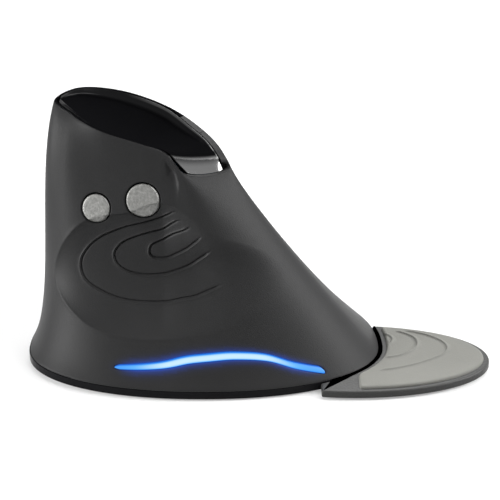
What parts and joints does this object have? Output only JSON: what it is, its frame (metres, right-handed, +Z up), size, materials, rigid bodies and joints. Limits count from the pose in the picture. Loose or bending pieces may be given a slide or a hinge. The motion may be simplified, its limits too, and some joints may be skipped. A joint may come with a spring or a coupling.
{
  "type": "vertical ergonomic computer mouse",
  "caption": "Upright right-hand computer mouse with a scooped thumb side, thumb buttons, lit wave strip, click keys, scroll wheel and a slide-out palm rest.",
  "frame": {"origin": "centre of the bounding box's bottom face, on the desk", "axes": "+X along the base towards the palm rest, -Y towards the thumb side, +Z up"},
  "size_m": [0.136, 0.0744, 0.0746],
  "materials": {
    "casing": "soft-touch matte",
    "gloss_trim": "gloss",
    "silver_button": "satin silver paint",
    "light": "clear, lit from behind",
    "light_chip": "gloss",
    "lens": "clear",
    "tyre": "matte",
    "pad": "soft matte",
    "foot": "slick",
    "board": "solder mask",
    "black_part": "moulded",
    "plunger": "moulded",
    "steel": "bright",
    "cell": "printed wrap",
    "rest": "fine texture"
  },
  "bodies": {
    "casing": {"thumb_shell": "casing", "finger_shell": "casing", "base_plate": "gloss_trim", "top_cover": "gloss_trim", "centre_strip": "gloss_trim", "light_guide": "light", "light_chips": "light_chip", "sensor_lens": "lens", "glide_feet": "foot", "light_flex": "board", "thumb_board": "board", "click_board": "board", "main_board": "board", "forward_switch": "black_part", "back_switch": "black_part", "wheel_switch": "black_part", "dpi_switch": "black_part", "index_switch": "black_part", "middle_switch": "black_part", "wheel_emitter": "black_part", "wheel_detector": "black_part", "sensor_chip": "black_part", "receiver_cap": "black_part", "power_switch": "black_part", "thumb_board_screws": "steel", "click_board_screws": "steel", "main_board_screws": "steel", "battery_contacts": "steel", "receiver_plug": "steel", "casing_screws": "steel", "battery_cell": "cell"},
    "index_click_key": {"index_key": "casing"},
    "middle_click_key": {"middle_key": "casing"},
    "wheel_carrier": {"wheel_cradle": "black_part"},
    "scroll_wheel": {"wheel_hub": "black_part", "wheel_tyre": "tyre", "wheel_axle": "steel"},
    "sensitivity_button": {"dpi_button": "silver_button"},
    "forward_thumb_button": {"forward_button": "silver_button"},
    "back_thumb_button": {"back_button": "silver_button"},
    "power_knob": {"power_slider": "silver_button"},
    "door": {"battery_door": "gloss_trim"},
    "palm_rest": {"rest_base": "rest", "rest_pad": "pad", "rest_feet": "foot"},
    "index_switch_plunger": {"index_plunger": "plunger"},
    "middle_switch_plunger": {"middle_plunger": "plunger"},
    "wheel_switch_plunger": {"wheel_plunger": "plunger"},
    "sensitivity_switch_plunger": {"dpi_plunger": "plunger"},
    "forward_switch_plunger": {"forward_plunger": "plunger"},
    "back_switch_plunger": {"back_plunger": "plunger"}
  },
  "joints": [
    {"name": "index_click", "type": "hinge", "parent": "casing", "child": "index_click_key", "pos_m": [-0.02287, 0.01857, 0.05832], "axis": [0.1335, -0.1419, 0.9808], "range_deg": [0, 1.2], "stiffness_Nm_per_rad": 0.4, "springref_deg": -0.57},
    {"name": "middle_click", "type": "hinge", "parent": "casing", "child": "middle_click_key", "pos_m": [-0.01774, 0.0273, 0.03457], "axis": [0.1335, -0.1419, 0.9808], "range_deg": [0, 0.9], "stiffness_Nm_per_rad": 0.8, "springref_deg": -0.57},
    {"name": "wheel_press", "type": "slide", "parent": "casing", "child": "wheel_carrier", "axis": [0.2303, -0.9582, -0.17], "range_m": [0, 0.0004], "stiffness_N_per_m": 1200, "springref_m": -0.0003},
    {"name": "wheel_spin", "type": "hinge", "parent": "wheel_carrier", "child": "scroll_wheel", "pos_m": [-0.04017, 0.01916, 0.04789], "axis": [0.1335, -0.1419, 0.9808], "continuous": true},
    {"name": "sensitivity_press", "type": "slide", "parent": "casing", "child": "sensitivity_button", "axis": [0.2303, -0.9582, -0.17], "range_m": [0, 0.0004], "stiffness_N_per_m": 1200, "springref_m": -0.0003},
    {"name": "forward_press", "type": "slide", "parent": "casing", "child": "forward_thumb_button", "axis": [0.1955, 0.9228, -0.3319], "range_m": [0, 0.0004], "stiffness_N_per_m": 1200, "springref_m": -0.0003},
    {"name": "back_press", "type": "slide", "parent": "casing", "child": "back_thumb_button", "axis": [0.1955, 0.9228, -0.3319], "range_m": [0, 0.0004], "stiffness_N_per_m": 1200, "springref_m": -0.0003},
    {"name": "power_slide", "type": "slide", "parent": "casing", "child": "power_knob", "axis": [1, 0, 0], "range_m": [0, 0.003]},
    {"name": "door_slide", "type": "slide", "parent": "casing", "child": "door", "axis": [-1, 0, 0], "range_m": [0, 0.004]},
    {"name": "rest_slide", "type": "slide", "parent": "casing", "child": "palm_rest", "axis": [0.9703, -0.2419, 0], "range_m": [0, 0.025]},
    {"name": "index_plunger_slide", "type": "slide", "parent": "casing", "child": "index_switch_plunger", "axis": [0.2303, -0.9582, -0.17], "range_m": [0, 0.0005]},
    {"name": "middle_plunger_slide", "type": "slide", "parent": "casing", "child": "middle_switch_plunger", "axis": [0.2303, -0.9582, -0.17], "range_m": [0, 0.0005]},
    {"name": "wheel_plunger_slide", "type": "slide", "parent": "casing", "child": "wheel_switch_plunger", "axis": [0.2303, -0.9582, -0.17], "range_m": [0, 0.0004]},
    {"name": "sensitivity_plunger_slide", "type": "slide", "parent": "casing", "child": "sensitivity_switch_plunger", "axis": [0.2303, -0.9582, -0.17], "range_m": [0, 0.0004]},
    {"name": "forward_plunger_slide", "type": "slide", "parent": "casing", "child": "forward_switch_plunger", "axis": [0.1955, 0.9228, -0.3319], "range_m": [0, 0.0004]},
    {"name": "back_plunger_slide", "type": "slide", "parent": "casing", "child": "back_switch_plunger", "axis": [0.1955, 0.9228, -0.3319], "range_m": [0, 0.0004]}
  ],
  "couplings": [
    {"joint": "index_plunger_slide", "follows": "index_click", "m_per_rad": 0.01954},
    {"joint": "middle_plunger_slide", "follows": "middle_click", "m_per_rad": 0.028916},
    {"joint": "wheel_plunger_slide", "follows": "wheel_press", "ratio": 1},
    {"joint": "sensitivity_plunger_slide", "follows": "sensitivity_press", "ratio": 1},
    {"joint": "forward_plunger_slide", "follows": "forward_press", "ratio": 1},
    {"joint": "back_plunger_slide", "follows": "back_press", "ratio": 1}
  ]
}
